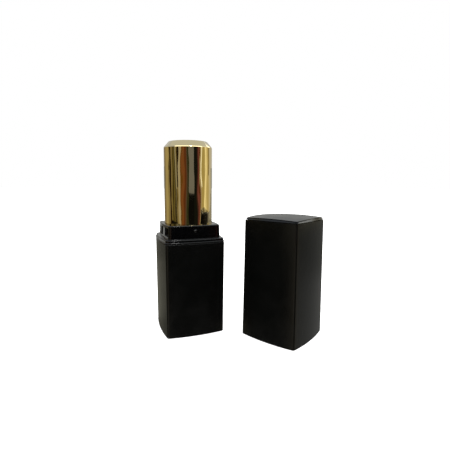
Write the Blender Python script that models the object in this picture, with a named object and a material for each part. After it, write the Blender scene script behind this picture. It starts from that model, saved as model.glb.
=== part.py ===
"""A square lipstick case with its cap off: the base with its gold sleeve, and the cap beside it.

Metres, +Z up. The origin is the centre of the base's foot, on the surface that both pieces stand on.

The gold sleeve and the spiral tube inside it turn together about +Z. The fork tube stands still in the
base. The cup's two lugs pass through the fork tube's straight slots into the spiral tube's grooves, so
turning the sleeve by 1.5 turns raises the cup by 27 mm. The cap is loose and stands with its mouth down.
"""

import math

import bmesh
import bpy

MM = 0.001

# Square body of the base and the cap: width between corners, bow of each face, radius of its corners
BODY_WIDTH = 20.4 * MM
BODY_BOW = 0.91 * MM
BODY_CORNER = 0.75 * MM
FACE_STEPS = 12
CORNER_STEPS = 4
SIDES = 4 * (FACE_STEPS + CORNER_STEPS)
EDGE = 0.15 * MM

# Base: a shell with a steel weight on its floor, and the inner base pushed into it. It is widest at its top
SHELL_HEIGHT = 32.6 * MM
SHELL_DRAFT = 0.22 * MM
SHELL_WALL = 1.1 * MM
SHELL_FLOOR = 1.2 * MM
SEAT_GAP = 0.2 * MM
WEIGHT_HEIGHT = 7.0 * MM

# Inner base: a lip flush with the shell, a set-back ledge that the cap meets, and the cap's collar
LIP_TOP = 33.2 * MM
LEDGE_TOP = 34.05 * MM
LEDGE_INSET = 0.25 * MM
COLLAR_TOP = 38.7 * MM
COLLAR_INSET = 1.36 * MM
COLLAR_DRAFT = 0.16 * MM
COLLAR_EDGE = 0.35 * MM
COLLAR_CORNER = 1.2 * MM
BORE_RADIUS = 8.65 * MM
BORE_FLOOR = 20.0 * MM
BORE_FLOOR_THICKNESS = 1.2 * MM
SKIRT_WALL = 1.2 * MM
POCKET_LOW = 34.95 * MM
POCKET_HIGH = 37.85 * MM
POCKET_DEPTH = 0.45 * MM
POCKETS = ((-6.4 * MM, 3.7 * MM), (0.0, 4.0 * MM), (6.4 * MM, 3.7 * MM))
PIP_RADIUS = 0.6 * MM
PIP_PROUD = 0.25 * MM
PIP_DEPTH = 0.35 * MM
PIP_HEIGHT = 36.8 * MM

# Gold sleeve: a drawn tube whose shoulder closes in to the bullet's mouth
SLEEVE_RADIUS = 8.54 * MM
SLEEVE_WALL = 0.4 * MM
SLEEVE_BOTTOM = 21.5 * MM
SHOULDER_BOTTOM = 65.3 * MM
SLEEVE_TOP = 67.3 * MM
SHOULDER_TOP_RADIUS = 6.85 * MM
MOUTH_RADIUS = 6.45 * MM
SHOULDER_ROUND = 0.8 * MM
LIP_ROUND = 0.25 * MM

# Spiral tube, fixed inside the sleeve, with two helical grooves in its inner face
SPIRAL_RADIUS = 8.0 * MM
SPIRAL_INNER_RADIUS = 7.3 * MM
GROOVE_RADIUS = 7.75 * MM
SPIRAL_TOP = 64.3 * MM
GROOVE_LEAD = 18.0 * MM
GROOVE_TURNS = 1.5
GROOVE_HALF_HEIGHT = 1.3 * MM
GROOVE_STARTS = 2
GROOVE_STEPS = 48
GROOVE_OVERRUN = math.radians(12)

# Fork tube, fixed to the inner base, with a straight slot on each side
FORK_RADIUS = 7.15 * MM
FORK_INNER_RADIUS = 6.65 * MM
FORK_FOOT_RADIUS = 8.4 * MM
FORK_FOOT_HEIGHT = 1.0 * MM
FORK_TOP = 65.2 * MM
SLOT_WIDTH = 2.1 * MM
SLOT_END_GAP = 0.5 * MM

# Cup for a 12.1 mm bullet, stored wound down
CUP_RADIUS = 6.45 * MM
CUP_INNER_RADIUS = 6.05 * MM
CUP_BOTTOM = 23.5 * MM
CUP_TOP = 38.0 * MM
CUP_FLOOR = 1.0 * MM
LUG_RADIUS = 0.9 * MM
LUG_REACH = 7.6 * MM
LUG_HEIGHT = 24.9 * MM
CUP_TRAVEL = GROOVE_LEAD * GROOVE_TURNS

# Cap: shell, domed top plate and liner, standing beside the base and turned from it. It is widest at its mouth
CAP_PLACE = (29.65 * MM, -17.9 * MM)
CAP_TURN = math.radians(-59.7)
CAP_SHELL_HEIGHT = 40.62 * MM
CAP_DRAFT = 0.35 * MM
CAP_WALL = 0.62 * MM
CAP_FIT = 0.1 * MM
LINER_WALL = 0.48 * MM
LINER_BOTTOM = 0.35 * MM
LINER_ROOF = 37.9 * MM
LINER_ROOF_THICKNESS = 0.7 * MM
LINER_CORNER = 1.0 * MM
PLATE_PLUG_BOTTOM = 38.9 * MM
PLATE_BOTTOM = 40.75 * MM
PLATE_TOP = 42.25 * MM
PLATE_ROUND = 0.42 * MM
PLATE_ROUND_STEPS = 3
DOME_RADIUS = 100.0 * MM
DOME_RINGS = 4
DIMPLE_SIZE = (1.8 * MM, 0.5 * MM, 1.4 * MM)
DIMPLE_DEPTH = 0.22 * MM


def clear_scene():
    for obj in list(bpy.data.objects):
        bpy.data.objects.remove(obj, do_unlink=True)


def make_material(name, colour, roughness, metallic=0.0):
    """A Principled material of one colour."""
    material = bpy.data.materials.new(name)
    material.use_nodes = True
    shader = material.node_tree.nodes["Principled BSDF"]
    shader.inputs["Base Color"].default_value = (*colour, 1.0)
    shader.inputs["Roughness"].default_value = roughness
    shader.inputs["Metallic"].default_value = metallic
    material.diffuse_color = (*colour, 1.0)
    return material


def make_materials():
    return {
        "matte_black": make_material("matte_black", (0.012, 0.012, 0.012), 0.42),
        "gloss_black": make_material("gloss_black", (0.01, 0.01, 0.011), 0.12),
        "gold": make_material("gold", (0.83, 0.66, 0.33), 0.08, 1.0),
        "steel": make_material("steel", (0.55, 0.55, 0.55), 0.35, 1.0),
        "white_plastic": make_material("white_plastic", (0.78, 0.77, 0.72), 0.4),
    }


def body_outline(inset=0.0, corner=BODY_CORNER):
    """Points of the square body moved inwards by inset: a long arc for each face, a short one between."""
    half = BODY_WIDTH / 2
    full_radius = (half**2 + BODY_BOW**2) / (2 * BODY_BOW)
    centre = full_radius - half - BODY_BOW
    face = full_radius - inset
    diagonal = (math.sqrt(2 * (face - corner) ** 2 - centre**2) - centre) / 2
    reach = math.atan2(diagonal, diagonal + centre)
    points = []
    for quarter in range(4):
        turn = math.radians(90 * quarter)
        for step in range(FACE_STEPS + 1):
            angle = -math.pi / 2 - reach + 2 * reach * step / FACE_STEPS
            points.append(turned(face * math.cos(angle), centre + face * math.sin(angle), turn))
        for step in range(1, CORNER_STEPS):
            angle = -math.pi / 2 + reach + (math.pi / 2 - 2 * reach) * step / CORNER_STEPS
            x = diagonal + corner * math.cos(angle)
            y = -diagonal + corner * math.sin(angle)
            points.append(turned(x, y, turn))
    return points


def turned(x, y, angle):
    cosine = math.cos(angle)
    sine = math.sin(angle)
    return (x * cosine - y * sine, x * sine + y * cosine)


def circle_outline(radius):
    """A circle whose points match those of body_outline one for one."""
    start = math.radians(-135) + math.pi * CORNER_STEPS / SIDES
    return [
        (radius * math.cos(start + math.tau * step / SIDES), radius * math.sin(start + math.tau * step / SIDES))
        for step in range(SIDES)
    ]


def level(outline, height):
    return [(x, y, height) for x, y in outline]


def finish(obj, material):
    """Gives the object its material, and shades it smooth with sharp edges kept."""
    obj.data.materials.append(material)
    obj.data.shade_smooth()
    obj.data.set_sharp_from_angle(angle=math.radians(30))
    return obj


def new_object(name, mesh_builder):
    mesh = bpy.data.meshes.new(name)
    mesh_builder.to_mesh(mesh)
    mesh_builder.free()
    obj = bpy.data.objects.new(name, mesh)
    bpy.context.collection.objects.link(obj)
    return obj


def loft(name, rings, material, through=False):
    """A closed body through rings of equal point counts. A through body joins its last ring to its first."""
    builder = bmesh.new()
    loops = [[builder.verts.new(point) for point in ring] for ring in rings]
    following = loops[1:] + loops[:1] if through else loops[1:]
    for here, there in zip(loops, following):
        for index in range(len(here)):
            builder.faces.new((here[index - 1], here[index], there[index], there[index - 1]))
    if not through:
        builder.faces.new(loops[0])
        builder.faces.new(loops[-1])
    bmesh.ops.recalc_face_normals(builder, faces=builder.faces)
    return finish(new_object(name, builder), material)


def rounded(corners, steps=3):
    """An outline from (radius, height, rounding) corners, each rounding drawn as an arc."""
    points = []
    for index, (x, z, rounding) in enumerate(corners):
        if rounding == 0:
            points.append((x, z))
            continue
        before = corners[index - 1]
        after = corners[(index + 1) % len(corners)]
        back = math.atan2(before[1] - z, before[0] - x)
        ahead = math.atan2(after[1] - z, after[0] - x)
        opening = (ahead - back + math.pi) % math.tau - math.pi
        middle = back + opening / 2
        away = rounding / math.sin(abs(opening) / 2)
        centre = (x + away * math.cos(middle), z + away * math.sin(middle))
        sweep = math.copysign(math.pi - abs(opening), opening)
        for step in range(steps + 1):
            angle = middle + math.pi + sweep * (0.5 - step / steps)
            points.append((centre[0] + rounding * math.cos(angle), centre[1] + rounding * math.sin(angle)))
    return points


def turn_on_lathe(name, profile, material, closed=True):
    """A body turned about Z from a profile at +X that runs down its outer side, with a Screw modifier."""
    builder = bmesh.new()
    points = [builder.verts.new((radius, 0.0, height)) for radius, height in profile]
    for here, there in zip(points, points[1:]):
        builder.edges.new((here, there))
    if closed:
        builder.edges.new((points[-1], points[0]))
    obj = new_object(name, builder)
    screw = obj.modifiers.new("turn", "SCREW")
    screw.steps = SIDES
    screw.render_steps = SIDES
    screw.use_merge_vertices = True
    screw.merge_threshold = 0.00001
    screw.use_smooth_shade = True
    obj.data.materials.append(material)
    return obj


def helper(obj):
    """Marks a cutter or a guide, which isn't part of the case."""
    obj.hide_render = True
    obj.display_type = "WIRE"
    return obj


def boolean(obj, other, operation):
    modifier = obj.modifiers.new(other.name, "BOOLEAN")
    modifier.operation = operation
    modifier.object = other
    modifier.solver = "EXACT"


def boxes(name, placed_sizes):
    """One helper mesh of boxes, each given as (centre, size)."""
    builder = bmesh.new()
    for centre, size in placed_sizes:
        added = bmesh.ops.create_cube(builder, size=1.0)["verts"]
        bmesh.ops.scale(builder, vec=size, verts=added)
        bmesh.ops.translate(builder, vec=centre, verts=added)
    return helper(new_object(name, builder))


def axis_empty(name, x, y, turn=0.0):
    empty = bpy.data.objects.new(name, None)
    bpy.context.collection.objects.link(empty)
    empty.location = (x, y, 0.0)
    empty.rotation_euler = (0.0, 0.0, turn)
    return empty


def make_base_shell(material):
    top = SHELL_HEIGHT
    inner = SHELL_WALL
    rings = [
        level(body_outline(SHELL_DRAFT + EDGE), 0.0),
        level(body_outline(SHELL_DRAFT), EDGE),
        level(body_outline(), top - EDGE),
        level(body_outline(EDGE), top),
        level(body_outline(inner), top),
        level(body_outline(inner), SHELL_FLOOR),
    ]
    return loft("base_shell", rings, material)


def make_base_weight(material):
    inset = SHELL_WALL + SEAT_GAP
    bottom = SHELL_FLOOR + SEAT_GAP
    top = bottom + WEIGHT_HEIGHT
    rings = [
        level(body_outline(inset + EDGE), bottom),
        level(body_outline(inset), bottom + EDGE),
        level(body_outline(inset), top - EDGE),
        level(body_outline(inset + EDGE), top),
    ]
    return loft("base_weight", rings, material)


def make_inner_base(material):
    """Skirt, lip, ledge and collar outside; the sleeve's bore above its floor, and a hollow below it."""
    roof = BORE_FLOOR - BORE_FLOOR_THICKNESS
    skirt = COLLAR_INSET + SKIRT_WALL
    bottom = SHELL_FLOOR + 2 * SEAT_GAP + WEIGHT_HEIGHT
    lip = SHELL_HEIGHT + EDGE
    collar = body_outline(COLLAR_INSET, COLLAR_CORNER)
    collar_top = COLLAR_INSET + COLLAR_DRAFT
    rings = [
        level(body_outline(skirt), roof),
        level(body_outline(skirt), bottom),
        level(collar, bottom),
        level(collar, lip),
        level(body_outline(EDGE), lip),
        level(body_outline(), lip + EDGE),
        level(body_outline(), LIP_TOP),
        level(body_outline(LEDGE_INSET), LIP_TOP),
        level(body_outline(LEDGE_INSET), LEDGE_TOP - EDGE),
        level(body_outline(LEDGE_INSET + EDGE), LEDGE_TOP),
        level(collar, LEDGE_TOP),
        level(body_outline(collar_top, COLLAR_CORNER), COLLAR_TOP - COLLAR_EDGE),
        level(body_outline(collar_top + 0.3 * COLLAR_EDGE, COLLAR_CORNER), COLLAR_TOP - 0.3 * COLLAR_EDGE),
        level(body_outline(collar_top + COLLAR_EDGE, COLLAR_CORNER), COLLAR_TOP),
        level(circle_outline(BORE_RADIUS), COLLAR_TOP),
        level(circle_outline(BORE_RADIUS), BORE_FLOOR),
    ]
    base = loft("inner_base", rings, material)
    boolean(base, make_pocket_cutter(), "DIFFERENCE")
    boolean(base, make_pips(), "UNION")
    return base


def collar_face():
    """How far the middle of a collar face is from the axis, half way up the collar."""
    return BODY_WIDTH / 2 + BODY_BOW - COLLAR_INSET - COLLAR_DRAFT / 2


def make_pocket_cutter():
    """Three shallow moulded pockets in each of the collar's left and right faces."""
    reach = 2.0 * MM
    middle = (POCKET_LOW + POCKET_HIGH) / 2
    height = POCKET_HIGH - POCKET_LOW
    placed = []
    for side in (-1, 1):
        for along, width in POCKETS:
            sag = along**2 / (2 * (BODY_WIDTH / 2) ** 2 / (2 * BODY_BOW))
            depth_at = collar_face() - sag - POCKET_DEPTH
            placed.append(((side * (depth_at + reach / 2), along, middle), (reach, width, height)))
    return boxes("pocket_cutter", placed)


def make_pips():
    """The small domes on the collar's front and back faces that hold the cap."""
    builder = bmesh.new()
    for side in (-1, 1):
        added = bmesh.ops.create_uvsphere(builder, u_segments=16, v_segments=8, radius=1.0)["verts"]
        bmesh.ops.scale(builder, vec=(PIP_RADIUS, PIP_DEPTH, PIP_RADIUS), verts=added)
        centre = (0.0, side * (collar_face() + PIP_PROUD - PIP_DEPTH), PIP_HEIGHT)
        bmesh.ops.translate(builder, vec=centre, verts=added)
    return helper(new_object("cap_pips", builder))


def make_gold_sleeve(material):
    inner = SLEEVE_RADIUS - SLEEVE_WALL
    slope = (SLEEVE_TOP - SHOULDER_BOTTOM) / (SLEEVE_RADIUS - SHOULDER_TOP_RADIUS)
    drop = SLEEVE_WALL * math.hypot(1.0, slope)
    inside_at = SLEEVE_TOP - drop + slope * SHOULDER_TOP_RADIUS
    profile = rounded(
        [
            (MOUTH_RADIUS, SLEEVE_TOP, 0.1 * MM),
            (SHOULDER_TOP_RADIUS, SLEEVE_TOP, LIP_ROUND),
            (SLEEVE_RADIUS, SHOULDER_BOTTOM, SHOULDER_ROUND),
            (SLEEVE_RADIUS, SLEEVE_BOTTOM, 0.1 * MM),
            (inner, SLEEVE_BOTTOM, 0),
            (inner, inside_at - slope * inner, 0),
            (MOUTH_RADIUS, inside_at - slope * MOUTH_RADIUS, 0),
        ]
    )
    return turn_on_lathe("gold_sleeve", profile, material)


def make_spiral_tube(material):
    bottom = SLEEVE_BOTTOM + EDGE
    profile = [
        (SPIRAL_RADIUS, SPIRAL_TOP),
        (SPIRAL_RADIUS, bottom),
        (SPIRAL_INNER_RADIUS, bottom),
        (SPIRAL_INNER_RADIUS, SPIRAL_TOP),
    ]
    tube = turn_on_lathe("spiral_tube", profile, material)
    boolean(tube, make_groove_cutter(), "DIFFERENCE")
    return tube


def make_groove_cutter():
    """A square thread for each groove. It falls as the angle grows, so turning the tube lifts a lug."""
    builder = bmesh.new()
    inside = SPIRAL_INNER_RADIUS - 0.4 * MM
    sweep = math.tau * GROOVE_TURNS + 2 * GROOVE_OVERRUN
    steps = round(GROOVE_STEPS * sweep / math.tau)
    for start in range(GROOVE_STARTS):
        sections = []
        for step in range(steps + 1):
            raised = -GROOVE_OVERRUN + sweep * step / steps
            angle = math.tau * start / GROOVE_STARTS - raised
            height = LUG_HEIGHT + GROOVE_LEAD * raised / math.tau
            section = [
                (inside, height - GROOVE_HALF_HEIGHT),
                (GROOVE_RADIUS, height - GROOVE_HALF_HEIGHT),
                (GROOVE_RADIUS, height + GROOVE_HALF_HEIGHT),
                (inside, height + GROOVE_HALF_HEIGHT),
            ]
            sections.append(
                [builder.verts.new((r * math.cos(angle), r * math.sin(angle), z)) for r, z in section]
            )
        for here, there in zip(sections, sections[1:]):
            for index in range(4):
                builder.faces.new((here[index - 1], here[index], there[index], there[index - 1]))
        builder.faces.new(sections[0])
        builder.faces.new(sections[-1])
    bmesh.ops.recalc_face_normals(builder, faces=builder.faces)
    return helper(new_object("groove_cutter", builder))


def make_fork_tube(material):
    bottom = BORE_FLOOR + SEAT_GAP
    foot = bottom + FORK_FOOT_HEIGHT
    profile = [
        (FORK_RADIUS, FORK_TOP),
        (FORK_RADIUS, foot),
        (FORK_FOOT_RADIUS, foot),
        (FORK_FOOT_RADIUS, bottom),
        (FORK_INNER_RADIUS, bottom),
        (FORK_INNER_RADIUS, FORK_TOP),
    ]
    tube = turn_on_lathe("fork_tube", profile, material)
    low = LUG_HEIGHT - LUG_RADIUS - SLOT_END_GAP
    high = LUG_HEIGHT + CUP_TRAVEL + LUG_RADIUS + SLOT_END_GAP
    slots = boxes("slot_cutter", [((0.0, 0.0, (low + high) / 2), (20.0 * MM, SLOT_WIDTH, high - low))])
    boolean(tube, slots, "DIFFERENCE")
    return tube


def make_lipstick_cup(material):
    profile = [
        (CUP_INNER_RADIUS + EDGE, CUP_TOP),
        (CUP_RADIUS, CUP_TOP),
        (CUP_RADIUS, CUP_BOTTOM),
        (0.0, CUP_BOTTOM),
        (0.0, CUP_BOTTOM + CUP_FLOOR),
        (CUP_INNER_RADIUS, CUP_BOTTOM + CUP_FLOOR),
        (CUP_INNER_RADIUS, CUP_TOP - EDGE),
    ]
    cup = turn_on_lathe("lipstick_cup", profile, material)
    boolean(cup, make_lugs(), "UNION")
    return cup


def make_lugs():
    """The two short pins near the cup's foot, one on each side."""
    builder = bmesh.new()
    start = CUP_INNER_RADIUS + 0.15 * MM
    for side in (-1, 1):
        added = bmesh.ops.create_cone(
            builder,
            cap_ends=True,
            segments=16,
            radius1=LUG_RADIUS,
            radius2=LUG_RADIUS,
            depth=LUG_REACH - start,
        )["verts"]
        for vertex in added:
            x, y, z = vertex.co
            vertex.co = (z + side * (LUG_REACH + start) / 2, y, LUG_HEIGHT - x)
    return helper(new_object("cup_lugs", builder))


def make_cap_shell(material):
    rings = [
        level(body_outline(EDGE), 0.0),
        level(body_outline(), EDGE),
        level(body_outline(CAP_DRAFT), CAP_SHELL_HEIGHT - EDGE),
        level(body_outline(CAP_DRAFT + EDGE), CAP_SHELL_HEIGHT),
        level(body_outline(CAP_DRAFT + CAP_WALL), CAP_SHELL_HEIGHT),
        level(body_outline(CAP_WALL), 0.0),
    ]
    return loft("cap_shell", rings, material, through=True)


def dome_height(x, y):
    return PLATE_TOP - DOME_RADIUS + math.sqrt(DOME_RADIUS**2 - x**2 - y**2)


def make_cap_top_plate(material):
    """A plug inside the shell, and above it a plate as wide as the shell with a gently domed top."""
    plug = body_outline(CAP_DRAFT + CAP_WALL + CAP_FIT)
    rings = [
        level(plug, PLATE_PLUG_BOTTOM),
        level(plug, PLATE_BOTTOM),
        level(body_outline(CAP_DRAFT), PLATE_BOTTOM),
    ]
    for step in range(PLATE_ROUND_STEPS + 1):
        angle = math.pi / 2 * step / PLATE_ROUND_STEPS
        drop = PLATE_ROUND * (1 - math.sin(angle))
        rim = body_outline(CAP_DRAFT + PLATE_ROUND * (1 - math.cos(angle)))
        rings.append([(x, y, dome_height(x, y) - drop) for x, y in rim])
    for ring in range(1, DOME_RINGS):
        scale = 1 - ring / DOME_RINGS
        rings.append([(x * scale, y * scale, dome_height(x * scale, y * scale)) for x, y in rim])
    return loft("cap_top_plate", rings, material)


def make_cap_liner(material):
    """The inner cap, a thin square cup that grips the collar, with dimples for the collar's pips."""
    outside = CAP_WALL + CAP_FIT
    inside = outside + LINER_WALL
    rings = [
        level(body_outline(outside + CAP_DRAFT, LINER_CORNER), LINER_ROOF + LINER_ROOF_THICKNESS),
        level(body_outline(outside, LINER_CORNER), LINER_BOTTOM),
        level(body_outline(inside, LINER_CORNER), LINER_BOTTOM),
        level(body_outline(inside + CAP_DRAFT, LINER_CORNER), LINER_ROOF),
    ]
    liner = loft("cap_liner", rings, material)
    face = BODY_WIDTH / 2 + BODY_BOW - inside
    height = PIP_HEIGHT - LEDGE_TOP
    middle = face + DIMPLE_DEPTH - DIMPLE_SIZE[1] / 2
    dimples = boxes("dimple_cutter", [((0.0, side * middle, height), DIMPLE_SIZE) for side in (-1, 1)])
    boolean(liner, dimples, "DIFFERENCE")
    return liner, dimples


def build():
    clear_scene()
    materials = make_materials()
    make_base_shell(materials["matte_black"])
    make_base_weight(materials["steel"])
    make_inner_base(materials["gloss_black"])
    make_fork_tube(materials["white_plastic"])

    sleeve_axis = axis_empty("sleeve_axis", 0.0, 0.0)
    make_gold_sleeve(materials["gold"]).parent = sleeve_axis
    make_spiral_tube(materials["white_plastic"]).parent = sleeve_axis

    cup_axis = axis_empty("cup_axis", 0.0, 0.0)
    make_lipstick_cup(materials["white_plastic"]).parent = cup_axis

    cap_axis = axis_empty("cap_axis", *CAP_PLACE, CAP_TURN)
    make_cap_shell(materials["matte_black"]).parent = cap_axis
    make_cap_top_plate(materials["matte_black"]).parent = cap_axis
    for piece in make_cap_liner(materials["gloss_black"]):
        piece.parent = cap_axis


build()
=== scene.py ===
"""The looks of a square lipstick case: matte black shells, a glossy collar and a gold sleeve.

Metres, +Z up. The base stands on the origin, and the cap beside it on its mouth. Every piece is drawn as
an outline or a circle, and then extruded and drawn in along its profile.
"""

import math

import bpy
from bpy.props import FloatProperty, FloatVectorProperty, IntProperty, PointerProperty
from mathutils import Matrix, Vector


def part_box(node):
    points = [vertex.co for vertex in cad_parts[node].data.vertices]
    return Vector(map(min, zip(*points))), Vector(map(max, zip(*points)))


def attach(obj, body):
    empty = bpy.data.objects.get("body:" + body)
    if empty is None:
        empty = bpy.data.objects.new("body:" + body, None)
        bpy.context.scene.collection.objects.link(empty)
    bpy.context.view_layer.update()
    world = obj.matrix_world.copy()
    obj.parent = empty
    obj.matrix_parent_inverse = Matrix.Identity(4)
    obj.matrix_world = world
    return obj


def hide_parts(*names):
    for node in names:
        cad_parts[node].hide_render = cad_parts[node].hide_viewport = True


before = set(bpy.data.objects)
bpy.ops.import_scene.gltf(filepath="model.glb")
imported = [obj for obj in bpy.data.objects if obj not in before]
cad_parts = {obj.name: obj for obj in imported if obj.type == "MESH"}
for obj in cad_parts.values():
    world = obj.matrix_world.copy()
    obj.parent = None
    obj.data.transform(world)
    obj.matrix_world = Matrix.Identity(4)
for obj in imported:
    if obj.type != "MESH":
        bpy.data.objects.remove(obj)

bl_info = {
    "name": "Square Lipstick Case",
    "version": (1, 0, 0),
    "blender": (4, 5, 0),
    "location": "View3D > Sidebar > Lipstick Case",
    "description": "Models and finishes a square lipstick case around its packed frame",
    "category": "Add Mesh",
}

MM = 0.001

SHELL_LOW, SHELL_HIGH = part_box("base_shell")
INNER_LOW, INNER_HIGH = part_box("inner_base")
SLEEVE_LOW, SLEEVE_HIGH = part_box("gold_sleeve")
FORK_LOW, FORK_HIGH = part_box("fork_tube")
CUP_LOW, CUP_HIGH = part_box("lipstick_cup")
CAP_LOW, CAP_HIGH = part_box("cap_shell")
PLATE_LOW, PLATE_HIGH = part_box("cap_top_plate")
LINER_LOW, LINER_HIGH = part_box("cap_liner")

CAP_CENTRE = ((CAP_LOW.x + CAP_HIGH.x) / 2, (CAP_LOW.y + CAP_HIGH.y) / 2)
BODY_WIDTH = 20.4 * MM
# Points closer than this are one point, and faces thinner than this are none
MERGE = 0.0005 * MM


class CaseSizes(bpy.types.PropertyGroup):
    """Sizes of the case that a maker would change."""

    body_width: FloatProperty(
        name="Body width",
        description="Width of the square body between its corners",
        default=BODY_WIDTH,
        unit="LENGTH",
    )
    face_bow: FloatProperty(
        name="Face bow",
        description="How far the middle of each face stands out from its corners",
        default=(SHELL_HIGH.x - SHELL_LOW.x - BODY_WIDTH) / 2,
        unit="LENGTH",
    )
    corner_radius: FloatProperty(
        name="Corner radius",
        description="Radius of the body's upright corners",
        default=0.8 * MM,
        unit="LENGTH",
    )
    rim_round: FloatProperty(
        name="Rim rounding",
        description="Radius along the rims of the moulded shells",
        default=0.15 * MM,
        unit="LENGTH",
    )
    cap_turn: FloatProperty(
        name="Cap turn",
        description="How far the cap is turned from the base",
        default=math.radians(-59.7),
        subtype="ANGLE",
    )
    base_draft: FloatProperty(
        name="Base draft",
        description="How much each side of the base draws in towards its foot",
        default=0.22 * MM,
        unit="LENGTH",
    )
    cap_draft: FloatProperty(
        name="Cap draft",
        description="How much each side of the cap draws in towards its top",
        default=0.35 * MM,
        unit="LENGTH",
    )
    face_steps: IntProperty(
        name="Face steps",
        description="Segments along each bowed face",
        default=32,
        min=4,
    )
    corner_steps: IntProperty(
        name="Corner steps",
        description="Segments round each upright corner",
        default=8,
        min=2,
    )
    round_steps: IntProperty(
        name="Round steps",
        description="Segments round each turned piece",
        default=160,
        min=16,
    )


class CaseColours(bpy.types.PropertyGroup):
    """Colours of the case's finishes."""

    matte_black: FloatVectorProperty(
        name="Matte black",
        description="Soft matte coating of the shells",
        default=(0.0009, 0.001, 0.0009),
        subtype="COLOR",
    )
    gloss_black: FloatVectorProperty(
        name="Gloss black",
        description="Polished moulded plastic of the collar and the inner cap",
        default=(0.0007, 0.0007, 0.0008),
        subtype="COLOR",
    )
    gold: FloatVectorProperty(
        name="Gold",
        description="Gold anodised aluminium of the sleeve",
        default=(0.92, 0.75, 0.42),
        subtype="COLOR",
    )
    white_plastic: FloatVectorProperty(
        name="White plastic",
        description="Natural plastic of the cup, the fork tube and the spiral tube",
        default=(0.74, 0.72, 0.66),
        subtype="COLOR",
    )
    steel: FloatVectorProperty(
        name="Steel",
        description="Pressed steel of the weight",
        default=(0.5, 0.5, 0.5),
        subtype="COLOR",
    )


# Drawing and shaping


def deselect_all():
    if bpy.context.mode != "OBJECT":
        bpy.ops.object.mode_set(mode="OBJECT")
    bpy.ops.object.select_all(action="DESELECT")


def start_point(name, place):
    """A new mesh object at the origin, in edit mode, that holds one selected point."""
    deselect_all()
    bpy.ops.mesh.primitive_plane_add(size=MM, location=(0, 0, 0))
    piece = bpy.context.object
    piece.name = name
    bpy.ops.object.mode_set(mode="EDIT")
    bpy.ops.mesh.select_all(action="SELECT")
    bpy.ops.mesh.merge(type="CENTER")
    bpy.ops.transform.translate(value=place)
    return piece


def turned(x, y, angle):
    return (
        x * math.cos(angle) - y * math.sin(angle),
        x * math.sin(angle) + y * math.cos(angle),
    )


def sweep(centre, angle, steps):
    """Sweeps the selection anticlockwise round the centre.

    With no window, a spin turns against its axis.
    """
    bpy.ops.mesh.spin(steps=steps, angle=angle, center=(*centre, 0), axis=(0, 0, -1))


def draw_body(name, middle, corner, height):
    """Draws the square body's outline as a face: middle is how far its faces' middles are from the axis."""
    sizes = bpy.context.scene.case_sizes
    half = sizes.body_width / 2
    full_radius = (half**2 + sizes.face_bow**2) / (2 * sizes.face_bow)
    centre = full_radius - half - sizes.face_bow
    face = centre + middle
    diagonal = (math.sqrt(2 * (face - corner) ** 2 - centre**2) - centre) / 2
    reach = math.atan2(diagonal, diagonal + centre)
    start = (-face * math.sin(reach), centre - face * math.cos(reach), height)
    piece = start_point(name, start)
    for quarter in range(4):
        turn = math.radians(90 * quarter)
        sweep(turned(0, centre, turn), 2 * reach, sizes.face_steps)
        sweep(turned(diagonal, -diagonal, turn), math.pi / 2 - 2 * reach, sizes.corner_steps)
    bpy.ops.mesh.select_all(action="SELECT")
    bpy.ops.mesh.remove_doubles(threshold=2 * MERGE)
    bpy.ops.mesh.edge_face_add()
    return piece


def draw_circle(name, radius, height):
    """Draws a circle as a face, selected in edit mode."""
    deselect_all()
    steps = bpy.context.scene.case_sizes.round_steps
    bpy.ops.mesh.primitive_circle_add(vertices=steps, radius=radius, fill_type="NGON", location=(0, 0, 0))
    piece = bpy.context.object
    piece.name = name
    bpy.ops.object.mode_set(mode="EDIT")
    bpy.ops.mesh.select_all(action="SELECT")
    bpy.ops.transform.translate(value=(0, 0, height))
    return piece


def rounded(corners, steps=4):
    """An outline from (reach, height, rounding) corners, each rounding drawn as an arc."""
    points = []
    for index, (x, z, rounding) in enumerate(corners):
        if rounding == 0:
            points.append((x, z))
            continue
        before = corners[index - 1]
        after = corners[(index + 1) % len(corners)]
        back = math.atan2(before[1] - z, before[0] - x)
        ahead = math.atan2(after[1] - z, after[0] - x)
        opening = (ahead - back + math.pi) % math.tau - math.pi
        middle = back + opening / 2
        away = rounding / math.sin(abs(opening) / 2)
        centre = (x + away * math.cos(middle), z + away * math.sin(middle))
        arc = math.copysign(math.pi - abs(opening), opening)
        for step in range(steps + 1):
            angle = middle + math.pi + arc * (0.5 - step / steps)
            points.append((centre[0] + rounding * math.cos(angle), centre[1] + rounding * math.sin(angle)))
    return points


def extrude_along(profile):
    """Extrudes the selected face from the profile's first (reach, height) point through all the others."""
    for (reach, height), (next_reach, next_height) in zip(profile, profile[1:]):
        bpy.ops.mesh.extrude_region_move(
            TRANSFORM_OT_translate={"value": (0, 0, next_height - height)}
        )
        scale = next_reach / reach
        bpy.ops.transform.resize(value=(scale, scale, 1), center_override=(0, 0, next_height))


def pierce():
    """Joins the first face to the last, so that the piece is open right through."""
    bpy.ops.mesh.select_all(action="DESELECT")
    bpy.ops.mesh.select_mode(type="FACE")
    bpy.ops.mesh.select_face_by_sides(number=4, type="GREATER")
    bpy.ops.mesh.bridge_edge_loops()


def close_piece():
    """Merges doubled points, turns the faces outwards and leaves edit mode."""
    bpy.ops.mesh.select_mode(type="VERT")
    bpy.ops.mesh.select_all(action="SELECT")
    bpy.ops.mesh.remove_doubles(threshold=MERGE)
    bpy.ops.mesh.normals_make_consistent(inside=False)
    bpy.ops.object.mode_set(mode="OBJECT")


def make_square(name, profile, corner, through=False):
    piece = draw_body(name, profile[0][0], corner, profile[0][1])
    extrude_along(profile)
    if through:
        pierce()
    close_piece()
    return piece


def make_round(name, profile, through=False):
    piece = draw_circle(name, *profile[0])
    extrude_along(profile)
    if through:
        pierce()
    close_piece()
    return piece


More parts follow.
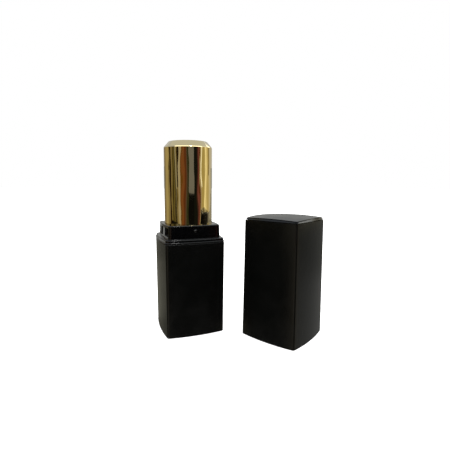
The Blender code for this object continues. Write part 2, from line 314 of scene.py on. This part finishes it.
def combine(piece, other, operation):
    """Cuts the other shape out of the piece, or joins it on, uses it up, and clears slivers off the piece."""
    modifier = piece.modifiers.new("combine", "BOOLEAN")
    modifier.operation = operation
    modifier.object = other
    modifier.solver = "EXACT"
    deselect_all()
    bpy.context.view_layer.objects.active = piece
    piece.select_set(True)
    bpy.ops.object.modifier_apply(modifier=modifier.name)
    bpy.data.objects.remove(other, do_unlink=True)
    bpy.ops.object.mode_set(mode="EDIT")
    bpy.ops.mesh.select_all(action="SELECT")
    bpy.ops.mesh.dissolve_degenerate(threshold=MERGE)
    bpy.ops.object.mode_set(mode="OBJECT")


def crown(piece, top, radius, bottom, spacing, drops):
    """Lifts the levels above the bottom onto a shallow dome. Each level keeps its own drop below the dome."""
    for vertex in piece.data.vertices:
        level = round((vertex.co.z - bottom) / spacing) - 1
        if level >= 0:
            dome = top - radius + math.sqrt(radius**2 - vertex.co.x**2 - vertex.co.y**2)
            vertex.co.z = dome - drops[min(level, len(drops) - 1)]


def soft_box(name, centre, size, rounding):
    """A box with rounded edges, for a moulded pocket or a slot."""
    deselect_all()
    bpy.ops.mesh.primitive_cube_add(size=1, location=(0, 0, 0))
    box = bpy.context.object
    box.name = name
    bpy.ops.object.mode_set(mode="EDIT")
    bpy.ops.mesh.select_all(action="SELECT")
    bpy.ops.transform.resize(value=size, center_override=(0, 0, 0))
    bpy.ops.transform.translate(value=centre)
    bpy.ops.mesh.bevel(offset=rounding, segments=4, affect="EDGES")
    bpy.ops.object.mode_set(mode="OBJECT")
    return box


def finish_piece(piece, body, slot, material, *nodes, turn=0.0, place=(0.0, 0.0)):
    """Sets the piece in its place, shades it, gives it its material, hangs it on the body it rides on, and
    hides the frame nodes it stands for.
    """
    deselect_all()
    piece.select_set(True)
    bpy.context.view_layer.objects.active = piece
    piece.rotation_euler = (0, 0, turn)
    piece.location = (*place, 0)
    bpy.ops.object.transform_apply(location=True, rotation=True, scale=True)
    bpy.ops.object.shade_smooth_by_angle(angle=math.radians(28))
    level = piece.modifiers.new("level_normals", "WEIGHTED_NORMAL")
    level.keep_sharp = True
    bpy.ops.object.modifier_apply(modifier=level.name)
    piece.data.materials.clear()
    piece.data.materials.append(material)
    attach(piece, body)
    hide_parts(*nodes)


# Finishes


def node_in(tree, kind, **values):
    node = tree.nodes.new(kind)
    for name, value in values.items():
        if name in node.inputs:
            node.inputs[name].default_value = value
        else:
            setattr(node, name, value)
    return node


def new_material(name):
    material = bpy.data.materials.new(name)
    material.use_nodes = True
    tree = material.node_tree
    return material, tree, tree.nodes["Principled BSDF"]


def fine_grain_group():
    """A fine moulded or blasted grain, and the faint smears that handling leaves on it."""
    group = bpy.data.node_groups.get("fine_grain")
    if group:
        return group
    group = bpy.data.node_groups.new("fine_grain", "ShaderNodeTree")
    face = group.interface
    face.new_socket("Vector", in_out="INPUT", socket_type="NodeSocketVector")
    scale = face.new_socket("Grain Scale", in_out="INPUT", socket_type="NodeSocketFloat")
    scale.default_value = 9000.0
    smears = face.new_socket("Smear Scale", in_out="INPUT", socket_type="NodeSocketFloat")
    smears.default_value = 220.0
    face.new_socket("Grain", in_out="OUTPUT", socket_type="NodeSocketFloat")
    face.new_socket("Smears", in_out="OUTPUT", socket_type="NodeSocketFloat")
    source = group.nodes.new("NodeGroupInput")
    result = group.nodes.new("NodeGroupOutput")
    grain = node_in(group, "ShaderNodeTexNoise", Detail=2.0, Roughness=0.6)
    smear = node_in(group, "ShaderNodeTexNoise", Detail=4.0, Roughness=0.55, Distortion=0.6)
    link = group.links.new
    link(source.outputs["Vector"], grain.inputs["Vector"])
    link(source.outputs["Grain Scale"], grain.inputs["Scale"])
    link(source.outputs["Vector"], smear.inputs["Vector"])
    link(source.outputs["Smear Scale"], smear.inputs["Scale"])
    link(grain.outputs["Fac"], result.inputs["Grain"])
    link(smear.outputs["Fac"], result.inputs["Smears"])
    return group


def add_grain(tree, grain_scale, smear_scale):
    """Places the grain group in a material, on Object coordinates."""
    where = tree.nodes.new("ShaderNodeTexCoord")
    grain = tree.nodes.new("ShaderNodeGroup")
    grain.node_tree = fine_grain_group()
    grain.inputs["Grain Scale"].default_value = grain_scale
    grain.inputs["Smear Scale"].default_value = smear_scale
    tree.links.new(where.outputs["Object"], grain.inputs["Vector"])
    return grain


def roughness_between(tree, shader, mask, low, high):
    """Spreads the mask's usual range over the roughness from low to high."""
    span = node_in(tree, "ShaderNodeMapRange")
    span.inputs["From Min"].default_value = 0.35
    span.inputs["From Max"].default_value = 0.7
    span.inputs["To Min"].default_value = low
    span.inputs["To Max"].default_value = high
    tree.links.new(mask, span.inputs["Value"])
    tree.links.new(span.outputs["Result"], shader.inputs["Roughness"])


def bump_from(tree, shader, height, distance, strength=1.0):
    bump = tree.nodes.new("ShaderNodeBump")
    bump.inputs["Distance"].default_value = distance
    bump.inputs["Strength"].default_value = strength
    tree.links.new(height, bump.inputs["Height"])
    tree.links.new(bump.outputs["Normal"], shader.inputs["Normal"])


def colour_between(tree, shader, mask, low, high):
    ramp = tree.nodes.new("ShaderNodeMix")
    ramp.data_type = "RGBA"
    ramp.inputs["A"].default_value = (*low, 1)
    ramp.inputs["B"].default_value = (*high, 1)
    tree.links.new(mask, ramp.inputs["Factor"])
    tree.links.new(ramp.outputs["Result"], shader.inputs["Base Color"])


def matte_black_coat():
    """Black plastic under a fine matte coating."""
    existing = bpy.data.materials.get("matte_black_coat")
    if existing:
        return existing
    material, tree, shader = new_material("matte_black_coat")
    colour = bpy.context.scene.case_colours.matte_black
    grain = add_grain(tree, 7000.0, 160.0)
    colour_between(tree, shader, grain.outputs["Smears"], colour, [1.6 * c for c in colour])
    roughness_between(tree, shader, grain.outputs["Smears"], 0.2, 0.27)
    bump_from(tree, shader, grain.outputs["Grain"], 0.004 * MM, 0.5)
    shader.inputs["Specular IOR Level"].default_value = 0.4
    return material


def gloss_black_plastic():
    """Polished black plastic, moulded bright."""
    existing = bpy.data.materials.get("gloss_black_plastic")
    if existing:
        return existing
    material, tree, shader = new_material("gloss_black_plastic")
    colour = bpy.context.scene.case_colours.gloss_black
    grain = add_grain(tree, 1200.0, 260.0)
    colour_between(tree, shader, grain.outputs["Smears"], colour, [1.8 * c for c in colour])
    roughness_between(tree, shader, grain.outputs["Smears"], 0.05, 0.11)
    bump_from(tree, shader, grain.outputs["Smears"], 0.01 * MM, 0.5)
    return material


def gold_anodising():
    """Drawn aluminium, polished to a mirror with a slight waviness along its length, and anodised gold."""
    material, tree, shader = new_material("gold_anodising")
    colour = bpy.context.scene.case_colours.gold
    shader.inputs["Metallic"].default_value = 1.0
    where = tree.nodes.new("ShaderNodeTexCoord")
    stretch = tree.nodes.new("ShaderNodeMapping")
    stretch.inputs["Scale"].default_value = (1.0, 1.0, 0.3)
    waves = node_in(tree, "ShaderNodeTexNoise", Scale=200.0, Detail=1.5, Roughness=0.4)
    tree.links.new(where.outputs["Object"], stretch.inputs["Vector"])
    tree.links.new(stretch.outputs["Vector"], waves.inputs["Vector"])
    grain = add_grain(tree, 5000.0, 300.0)
    colour_between(tree, shader, grain.outputs["Smears"], colour, [0.95 * c for c in colour])
    roughness_between(tree, shader, grain.outputs["Smears"], 0.03, 0.07)
    bump_from(tree, shader, waves.outputs["Fac"], 0.42 * MM)
    return material


def white_natural_plastic():
    """Natural white plastic with a soft moulded sheen."""
    existing = bpy.data.materials.get("white_natural_plastic")
    if existing:
        return existing
    material, tree, shader = new_material("white_natural_plastic")
    colour = bpy.context.scene.case_colours.white_plastic
    grain = add_grain(tree, 3000.0, 180.0)
    colour_between(tree, shader, grain.outputs["Smears"], colour, [0.93 * c for c in colour])
    roughness_between(tree, shader, grain.outputs["Smears"], 0.3, 0.42)
    bump_from(tree, shader, grain.outputs["Grain"], 0.006 * MM, 0.4)
    shader.inputs["Subsurface Weight"].default_value = 0.15
    shader.inputs["Subsurface Scale"].default_value = 0.8 * MM
    return material


def pressed_steel():
    """Plain steel with the fine scratches of pressing and tumbling."""
    material, tree, shader = new_material("pressed_steel")
    colour = bpy.context.scene.case_colours.steel
    shader.inputs["Metallic"].default_value = 1.0
    grain = add_grain(tree, 4000.0, 240.0)
    colour_between(tree, shader, grain.outputs["Smears"], colour, [0.8 * c for c in colour])
    roughness_between(tree, shader, grain.outputs["Grain"], 0.3, 0.45)
    bump_from(tree, shader, grain.outputs["Grain"], 0.006 * MM)
    return material


# Pieces


def body_reach():
    sizes = bpy.context.scene.case_sizes
    return sizes.body_width / 2 + sizes.face_bow


class CASE_OT_base_shell(bpy.types.Operator):
    """Model the outer shell of the base"""

    bl_idname = "case.base_shell"
    bl_label = "Base Shell"

    def execute(self, context):
        sizes = context.scene.case_sizes
        outside = body_reach()
        inside = outside - 1.1 * MM
        top = SHELL_HIGH.z
        floor = 1.2 * MM
        profile = rounded(
            [
                (outside - sizes.base_draft - MM, 0, 0),
                (outside - sizes.base_draft, 0, sizes.rim_round),
                (outside, top, sizes.rim_round),
                (inside, top, 0.1 * MM),
                (inside, floor, 0),
            ]
        )
        shell = make_square("base_shell_detail", profile, sizes.corner_radius)
        finish_piece(shell, "base", "matte_black", matte_black_coat(), "base_shell")
        return {"FINISHED"}


class CASE_OT_inner_base(bpy.types.Operator):
    """Model the inner base: its skirt, lip, ledge and collar, with the pockets and pips that hold the cap"""

    bl_idname = "case.inner_base"
    bl_label = "Inner Base and Collar"

    def execute(self, context):
        sizes = context.scene.case_sizes
        reach = body_reach()
        collar = reach - 1.36 * MM
        collar_top = collar - 0.16 * MM
        skirt = collar - 1.2 * MM
        roof = 18.8 * MM
        lip = SHELL_HIGH.z + sizes.rim_round
        lip_top = 33.2 * MM
        ledge = reach - 0.25 * MM
        ledge_top = 34.05 * MM
        top = INNER_HIGH.z
        profile = rounded(
            [
                (skirt, roof, 0),
                (skirt, INNER_LOW.z, 0.2 * MM),
                (collar, INNER_LOW.z, 0.2 * MM),
                (collar, lip, 0),
                (reach, lip, 0.1 * MM),
                (reach, lip_top, 0.2 * MM),
                (ledge, lip_top, 0.02 * MM),
                (ledge, ledge_top, 0.25 * MM),
                (collar, ledge_top, 0.1 * MM),
                (collar_top, top, 0.35 * MM),
                (collar_top - 0.5 * MM, top, 0),
            ]
        )
        base = make_square("inner_base_detail", profile, 1.2 * MM)
        bore_radius = 8.65 * MM
        bore_floor = 20 * MM
        bore = make_round("bore", [(bore_radius, bore_floor), (bore_radius, top + MM)])
        combine(base, bore, "DIFFERENCE")
        pocket_depth = 0.45 * MM
        pocket_height = 36.4 * MM
        pocket_tall = 2.9 * MM
        for side in (-1, 1):
            for along, width in ((-6.4 * MM, 3.7 * MM), (0, 4 * MM), (6.4 * MM, 3.7 * MM)):
                sag = along**2 * sizes.face_bow / (sizes.body_width / 2) ** 2
                depth = (collar + collar_top) / 2 - sag - pocket_depth
                centre = (side * (depth + MM), along, pocket_height)
                pocket = soft_box("pocket", centre, (2 * MM, width, pocket_tall), 0.2 * MM)
                combine(base, pocket, "DIFFERENCE")
            combine(base, cap_pip(side, (collar + collar_top) / 2), "UNION")
        finish_piece(base, "base", "gloss_black", gloss_black_plastic(), "inner_base")
        return {"FINISHED"}


def cap_pip(side, collar):
    """One of the small domes that hold the cap."""
    radius = 0.6 * MM
    stand = 0.35 * MM
    height = 36.8 * MM
    sunk = 0.1 * MM
    deselect_all()
    bpy.ops.mesh.primitive_uv_sphere_add(segments=32, ring_count=16, radius=radius, location=(0, 0, 0))
    pip = bpy.context.object
    bpy.ops.object.mode_set(mode="EDIT")
    bpy.ops.mesh.select_all(action="SELECT")
    bpy.ops.transform.resize(value=(1, stand / radius, 1), center_override=(0, 0, 0))
    bpy.ops.transform.translate(value=(0, side * (collar - sunk), height))
    bpy.ops.object.mode_set(mode="OBJECT")
    return pip


class CASE_OT_gold_sleeve(bpy.types.Operator):
    """Turn the gold sleeve, with its shoulder and the bullet's mouth"""

    bl_idname = "case.gold_sleeve"
    bl_label = "Gold Sleeve"

    def execute(self, context):
        outside = SLEEVE_HIGH.x
        wall = 0.4 * MM
        inside = outside - wall
        top = SLEEVE_HIGH.z
        mouth = 6.45 * MM
        shoulder_top = 6.85 * MM
        shoulder_bottom = top - 2 * MM
        slope = (top - shoulder_bottom) / (outside - shoulder_top)
        under = top - wall * math.hypot(1, slope) + slope * shoulder_top
        profile = rounded(
            [
                (outside, SLEEVE_LOW.z, 0.1 * MM),
                (outside, shoulder_bottom, 0.8 * MM),
                (shoulder_top, top, 0.25 * MM),
                (mouth, top, 0.1 * MM),
                (mouth, under - slope * mouth, 0),
                (inside, under - slope * inside, 0),
                (inside, SLEEVE_LOW.z, 0),
            ],
            steps=6,
        )
        sleeve = make_round("gold_sleeve_detail", profile, through=True)
        finish_piece(sleeve, "sleeve", "gold", gold_anodising(), "gold_sleeve")
        return {"FINISHED"}


class CASE_OT_mechanism(bpy.types.Operator):
    """Model the fork tube and the cup, and finish the spiral tube and the steel weight"""

    bl_idname = "case.mechanism"
    bl_label = "Mechanism"

    def execute(self, context):
        self.make_fork()
        self.make_cup()
        finish_node("spiral_tube", white_natural_plastic())
        finish_node("base_weight", pressed_steel())
        return {"FINISHED"}

    def make_fork(self):
        foot = FORK_LOW.z + MM
        outside = 7.15 * MM
        inside = 6.65 * MM
        profile = rounded(
            [
                (FORK_HIGH.x, FORK_LOW.z, 0.1 * MM),
                (FORK_HIGH.x, foot, 0.1 * MM),
                (outside, foot, 0),
                (outside, FORK_HIGH.z, 0.12 * MM),
                (inside, FORK_HIGH.z, 0.12 * MM),
                (inside, FORK_LOW.z, 0),
            ]
        )
        fork = make_round("fork_tube_detail", profile, through=True)
        low = 23.5 * MM
        high = 53.3 * MM
        slot_width = 2.1 * MM
        slots = soft_box("slots", (0, 0, (low + high) / 2), (20 * MM, slot_width, high - low), 0.6 * MM)
        combine(fork, slots, "DIFFERENCE")
        finish_piece(fork, "base", "white_plastic", white_natural_plastic(), "fork_tube")

    def make_cup(self):
        outside = 6.45 * MM
        inside = 6.05 * MM
        floor = CUP_LOW.z + MM
        profile = rounded(
            [
                (outside - MM, CUP_LOW.z, 0),
                (outside, CUP_LOW.z, 0.15 * MM),
                (outside, CUP_HIGH.z, 0.1 * MM),
                (inside, CUP_HIGH.z, 0.2 * MM),
                (inside, floor, 0.3 * MM),
                (0.2 * MM, floor, 0),
            ]
        )
        cup = make_round("lipstick_cup_detail", profile)
        # The lugs start inside the wall, so that the hollow stays whole
        root = (outside + inside) / 2 - 0.05 * MM
        lug_radius = 0.9 * MM
        lug_height = CUP_LOW.z + 1.4 * MM
        for side in (-1, 1):
            deselect_all()
            bpy.ops.mesh.primitive_cylinder_add(
                vertices=34,
                radius=lug_radius,
                depth=CUP_HIGH.x - root,
                location=(side * (CUP_HIGH.x + root) / 2, 0, lug_height),
                rotation=(0, math.pi / 2, 0),
            )
            combine(cup, bpy.context.object, "UNION")
        finish_piece(cup, "cup", "white_plastic", white_natural_plastic(), "lipstick_cup")


def finish_node(name, material):
    """Gives a node of the frame a better material."""
    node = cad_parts[name]
    node.data.materials.clear()
    node.data.materials.append(material)


class CASE_OT_cap(bpy.types.Operator):
    """Model the cap: its shell, its domed top plate and the inner cap"""

    bl_idname = "case.cap"
    bl_label = "Cap"

    def execute(self, context):
        self.make_shell()
        self.make_plate()
        self.make_liner()
        return {"FINISHED"}

    def put(self, piece, slot, material, node):
        turn = bpy.context.scene.case_sizes.cap_turn
        finish_piece(piece, "cap", slot, material, node, turn=turn, place=CAP_CENTRE)

    def make_shell(self):
        sizes = bpy.context.scene.case_sizes
        outside = body_reach()
        inside = outside - 0.62 * MM
        profile = rounded(
            [
                (outside, 0, sizes.rim_round),
                (outside - sizes.cap_draft, CAP_HIGH.z, 0.05 * MM),
                (inside - sizes.cap_draft, CAP_HIGH.z, 0),
                (inside, 0, 0.1 * MM),
            ]
        )
        shell = make_square("cap_shell_detail", profile, sizes.corner_radius, through=True)
        self.put(shell, "matte_black", matte_black_coat(), "cap_shell")

    def make_plate(self):
        sizes = bpy.context.scene.case_sizes
        outside = body_reach() - sizes.cap_draft
        bottom = 40.9 * MM
        dome_radius = 112 * MM
        spacing = 0.05 * MM
        crown_rings = 16
        rim = (
            (0.36 * MM, 0.36 * MM),
            (0.38 * MM, 0.34 * MM),
            (0.54 * MM, 0.18 * MM),
            (0.42 * MM, 0.05 * MM),
            (0.44 * MM, 0),
        )
        profile = [
            (outside - 0.72 * MM, PLATE_LOW.z),
            (outside - 0.72 * MM, bottom),
            (outside - 0.04 * MM, bottom),
            (outside, bottom + 0.03 * MM),
        ]
        drops = []
        for step, (inset, drop) in enumerate(rim):
            profile.append((outside - inset, bottom + (step + 2) * spacing))
            drops.append(drop)
        reach, level = profile[-1]
        for ring in range(1, crown_rings):
            profile.append((reach * (1 - ring / crown_rings), level))
        plate = make_square("cap_top_plate_detail", profile, sizes.corner_radius)
        crown(plate, PLATE_HIGH.z, dome_radius, bottom + spacing, spacing, drops)
        self.put(plate, "matte_black", matte_black_coat(), "cap_top_plate")

    def make_liner(self):
        draft = bpy.context.scene.case_sizes.cap_draft
        outside = body_reach() - 0.72 * MM
        inside = outside - 0.48 * MM
        roof = 37.9 * MM
        profile = rounded(
            [
                (outside - draft - MM, LINER_HIGH.z, 0),
                (outside - draft, LINER_HIGH.z, 0.3 * MM),
                (outside, LINER_LOW.z, 0.1 * MM),
                (inside, LINER_LOW.z, 0.12 * MM),
                (inside - draft, roof, 0.3 * MM),
                (0.5 * MM, roof, 0),
            ]
        )
        liner = make_square("cap_liner_detail", profile, 1.0 * MM)
        for side in (-1, 1):
            centre = (0, side * (inside - 0.05 * MM), 2.75 * MM)
            dimple = soft_box("dimple", centre, (1.8 * MM, 0.5 * MM, 1.4 * MM), 0.15 * MM)
            combine(liner, dimple, "DIFFERENCE")
        self.put(liner, "gloss_black", gloss_black_plastic(), "cap_liner")


# Stage

# Curved cards that only reflections see. Each runs from one bearing to another, in degrees round the case
# from +X, and from one height to another, in metres. The near ring stands above what the black faces reflect
NEAR = 0.15
FAR = 0.5
CARD_STEP = 4
RING = (0.012, 0.095)
LIFTED = (0.021, 0.095)
RAISED = (0.032, 0.095)
NEAR_CARDS = (
    (106, 118, LIFTED, (0.18, 0.16, 0.12)),
    (118, 128, LIFTED, (0.26, 0.21, 0.12)),
    (128, 152, LIFTED, (0.36, 0.31, 0.16)),
    (106, 152, (0.012, 0.021), (0.5, 0.5, 0.46)),
    (152, 162, LIFTED, (0.24, 0.20, 0.10)),
    (162, 178, LIFTED, (0.21, 0.17, 0.09)),
    (178, 184, LIFTED, (0.17, 0.14, 0.05)),
    (184, 190, LIFTED, (0.045, 0.035, 0.01)),
    (190, 195, LIFTED, (0.13, 0.11, 0.035)),
    (195, 199, LIFTED, (0.03, 0.02, 0.004)),
    (199, 207, LIFTED, (0.27, 0.26, 0.19)),
    (207, 213, RING, (0.22, 0.18, 0.08)),
    (213, 223, RING, (0.36, 0.33, 0.26)),
    (223, 227, RING, (0.12, 0.055, 0.01)),
    (227, 235, RING, (0.17, 0.065, 0.022)),
    (235, 244, RING, (0.10, 0.032, 0.011)),
    (244, 249, RING, (0.08, 0.055, 0.04)),
    (249, 258, RING, (0.028, 0.032, 0.015)),
    (258, 283, (0.043, 0.095), (0.157, 0.163, 0.18)),
    (283, 297, RING, (0.007, 0.008, 0.007)),
    (297, 303, RING, (0.035, 0.015, 0.011)),
    (303, 308, RING, (0.15, 0.05, 0.045)),
    (308, 312, RING, (0.095, 0.032, 0.013)),
    (312, 318, RING, (0.36, 0.30, 0.19)),
    (318, 333, RAISED, (0.38, 0.32, 0.13)),
    (333, 337, RAISED, (0.50, 0.44, 0.22)),
    (337, 347, RAISED, (0.92, 0.86, 0.56)),
    (347, 354, RAISED, (0.64, 0.58, 0.34)),
    (354, 366, RAISED, (0.48, 0.41, 0.20)),
    (366, 374, RAISED, (0.46, 0.41, 0.23)),
    (374, 384, RAISED, (0.54, 0.52, 0.43)),
)
FAR_CARDS = (
    (20, 45, (-0.012, 0.08), (0.41, 0.41, 0.38)),
    (45, 106, (-0.012, 0.08), (0.25, 0.26, 0.24)),
    (20, 106, (0.08, 0.24), (0.50, 0.50, 0.475)),
    (20, 106, (0.24, 0.55), (0.55, 0.60, 0.70)),
    (106, 200, (0.16, 0.55), (0.50, 0.55, 0.65)),
    (200, 325, (0.16, 0.45), (2.3, 2.4, 2.3)),
    (325, 380, (0.16, 0.55), (0.75, 0.80, 0.88)),
    (62, 106, (-0.03, -0.012), (0.5, 0.5, 0.46)),
    (62, 150, (-0.09, -0.03), (0.16, 0.155, 0.12)),
    (62, 150, (-0.20, -0.09), (0.26, 0.25, 0.195)),
    (62, 150, (-0.6, -0.2), (0.14, 0.135, 0.105)),
    (152, 159, (-0.6, 0.02), (0.26, 0.22, 0.13)),
    (205, 254, (-0.6, 0.02), (0.34, 0.29, 0.20)),
    (316, 338, (-0.6, 0.03), (0.44, 0.38, 0.26)),
    (340, 422, (-0.1, 0.03), (0.17, 0.17, 0.155)),
    (340, 422, (-0.6, -0.1), (0.26, 0.26, 0.245)),
)
# Narrow cards hung in front of the others: a dark pole that leans, a dark bar, a lit gap, a bright window,
# and a lamp
ACCENTS = (
    (170, 178, (0.020, 0.085), (0.012, 0.005, 0.0), NEAR - 0.001, -10),
    (208, 213, (0.052, 0.095), (0.010, 0.005, 0.0), NEAR - 0.001, 3),
    (199, 205, (0.020, 0.050), (0.03, 0.02, 0.0), NEAR - 0.001, 3),
    (156, 162, (0.062, 0.095), (0.05, 0.035, 0.006), NEAR - 0.001, -4),
    (318, 322, (0.050, 0.095), (0.98, 1.0, 0.9), NEAR - 0.001, 0),
    (366, 374, (0.058, 0.095), (0.10, 0.068, 0.005), NEAR - 0.001, 0),
    (370, 400, (0.20, 0.42), (2.6, 2.6, 2.4), FAR - 0.01, 0),
    (266, 274, (0.34, 0.42), (30, 30, 29), FAR - 0.01, 0),
)

CAMERA_PLACE = (-30.17 * MM, -119.19 * MM, 53.05 * MM)
CAMERA_FORWARD = (0.3466, 0.9298, -0.1238)
CAMERA_ROLL = math.radians(0.36)
CAMERA_LENS = 26.95


def glow(name, colour):
    material = bpy.data.materials.new(name)
    material.use_nodes = True
    tree = material.node_tree
    tree.nodes.clear()
    light = tree.nodes.new("ShaderNodeEmission")
    light.inputs["Color"].default_value = (*colour, 1)
    result = tree.nodes.new("ShaderNodeOutputMaterial")
    tree.links.new(light.outputs["Emission"], result.inputs["Surface"])
    return material


def only_in_reflections(obj):
    obj.visible_camera = False
    obj.visible_diffuse = False
    obj.visible_shadow = False
    obj.visible_transmission = False


def hang_card(first, last, heights, colour, distance, lean=0):
    """A curved card round the case. It leans when its top is turned from its foot."""
    name = f"card_{first}"
    low, high = heights
    foot = math.radians(first)
    head = math.radians(first + lean)
    card = start_point(name, (distance * math.cos(foot), distance * math.sin(foot), low))
    rise = (
        distance * (math.cos(head) - math.cos(foot)),
        distance * (math.sin(head) - math.sin(foot)),
        high - low,
    )
    bpy.ops.mesh.extrude_region_move(TRANSFORM_OT_translate={"value": rise})
    bpy.ops.mesh.select_all(action="SELECT")
    steps = max(2, round((last - first) / CARD_STEP))
    sweep((0, 0), math.radians(last - first), steps)
    bpy.ops.object.mode_set(mode="OBJECT")
    card.data.materials.append(glow(name, colour))
    only_in_reflections(card)


class CASE_OT_studio(bpy.types.Operator):
    """Set up the pale floor, the soft light, the reflected cards and the camera"""

    bl_idname = "case.studio"
    bl_label = "Studio"

    def execute(self, context):
        self.lay_floor()
        self.light_world()
        for card in NEAR_CARDS:
            hang_card(*card, NEAR)
        for card in FAR_CARDS:
            hang_card(*card, FAR)
        for card in ACCENTS:
            hang_card(*card)
        self.hang_ceiling()
        self.lay_floor_glow()
        self.hang_light("soft_lamp", (0.30, 0.06, 0.57), 0.3, 2.0)
        self.place_camera()
        context.scene.view_settings.view_transform = "Standard"
        return {"FINISHED"}

    def lay_floor(self):
        deselect_all()
        bpy.ops.mesh.primitive_plane_add(size=6, location=(0, 0, 0))
        floor = bpy.context.object
        floor.name = "pale_floor"
        material, tree, shader = new_material("pale_floor")
        shader.inputs["Base Color"].default_value = (0.95, 0.95, 0.95, 1)
        shader.inputs["Roughness"].default_value = 0.9
        shader.inputs["Specular IOR Level"].default_value = 0.0
        shader.inputs["Emission Color"].default_value = (1, 1, 1, 1)
        shader.inputs["Emission Strength"].default_value = 0.8
        floor.data.materials.append(material)
        floor.visible_glossy = False

    def light_world(self):
        world = bpy.data.worlds.new("studio")
        bpy.context.scene.world = world
        world.use_nodes = True
        tree = world.node_tree
        tree.nodes.clear()
        pale = node_in(tree, "ShaderNodeBackground", Color=(1, 1, 1, 1), Strength=1.0)
        dim = node_in(tree, "ShaderNodeBackground", Color=(0.004, 0.004, 0.004, 1), Strength=1.0)
        path = tree.nodes.new("ShaderNodeLightPath")
        blend = tree.nodes.new("ShaderNodeMixShader")
        result = tree.nodes.new("ShaderNodeOutputWorld")
        tree.links.new(path.outputs["Is Glossy Ray"], blend.inputs[0])
        tree.links.new(pale.outputs["Background"], blend.inputs[1])
        tree.links.new(dim.outputs["Background"], blend.inputs[2])
        tree.links.new(blend.outputs["Shader"], result.inputs["Surface"])

    def lay_floor_glow(self):
        """A disc far below the case, the pale floor as steep reflections in the polished metal see it."""
        deselect_all()
        bpy.ops.mesh.primitive_circle_add(radius=0.47, fill_type="NGON", location=(0, 0, -0.28))
        disc = bpy.context.object
        disc.name = "floor_glow"
        disc.data.materials.append(glow("floor_glow", (0.62, 0.60, 0.55)))
        only_in_reflections(disc)

    def hang_ceiling(self):
        deselect_all()
        bpy.ops.mesh.primitive_plane_add(size=1.2, location=(0, 0, 0.55))
        ceiling = bpy.context.object
        ceiling.name = "ceiling_card"
        ceiling.data.materials.append(glow("ceiling_card", (0.54, 0.59, 0.66)))
        only_in_reflections(ceiling)

    def hang_light(self, name, place, size, power):
        deselect_all()
        bpy.ops.object.light_add(type="AREA", location=place)
        lamp = bpy.context.object
        lamp.name = name
        lamp.visible_glossy = False
        lamp.data.shape = "DISK"
        lamp.data.size = size
        lamp.data.energy = power
        lamp.rotation_euler = (-Vector(place)).to_track_quat("-Z", "Y").to_euler()

    def place_camera(self):
        deselect_all()
        bpy.ops.object.camera_add(location=CAMERA_PLACE)
        camera = bpy.context.object
        turn = Vector(CAMERA_FORWARD).to_track_quat("-Z", "Y").to_matrix().to_4x4()
        roll = Matrix.Rotation(CAMERA_ROLL, 4, "Z")
        camera.rotation_euler = (turn @ roll).to_euler()
        camera.data.sensor_width = 36
        camera.data.lens = CAMERA_LENS
        camera.data.clip_start = 0.005
        camera.data.clip_end = 20
        bpy.context.scene.camera = camera


class CASE_PT_panel(bpy.types.Panel):
    """The case's pieces in the sidebar"""

    bl_label = "Lipstick Case"
    bl_idname = "CASE_PT_panel"
    bl_space_type = "VIEW_3D"
    bl_region_type = "UI"
    bl_category = "Lipstick Case"

    def draw(self, context):
        layout = self.layout
        for operator in OPERATORS:
            layout.operator(operator.bl_idname)
        for group in (context.scene.case_sizes, context.scene.case_colours):
            for name in group.bl_rna.properties.keys():
                if name not in ("rna_type", "name"):
                    layout.prop(group, name)


OPERATORS = (
    CASE_OT_base_shell,
    CASE_OT_inner_base,
    CASE_OT_gold_sleeve,
    CASE_OT_mechanism,
    CASE_OT_cap,
    CASE_OT_studio,
)
CLASSES = (CaseSizes, CaseColours, *OPERATORS, CASE_PT_panel)


def register():
    for cls in CLASSES:
        bpy.utils.register_class(cls)
    bpy.types.Scene.case_sizes = PointerProperty(type=CaseSizes)
    bpy.types.Scene.case_colours = PointerProperty(type=CaseColours)


def unregister():
    del bpy.types.Scene.case_colours
    del bpy.types.Scene.case_sizes
    for cls in reversed(CLASSES):
        bpy.utils.unregister_class(cls)


def main():
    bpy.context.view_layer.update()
    register()
    bpy.ops.case.base_shell()
    bpy.ops.case.inner_base()
    bpy.ops.case.gold_sleeve()
    bpy.ops.case.mechanism()
    bpy.ops.case.cap()
    bpy.ops.case.studio()


if __name__ == "__main__":
    main()
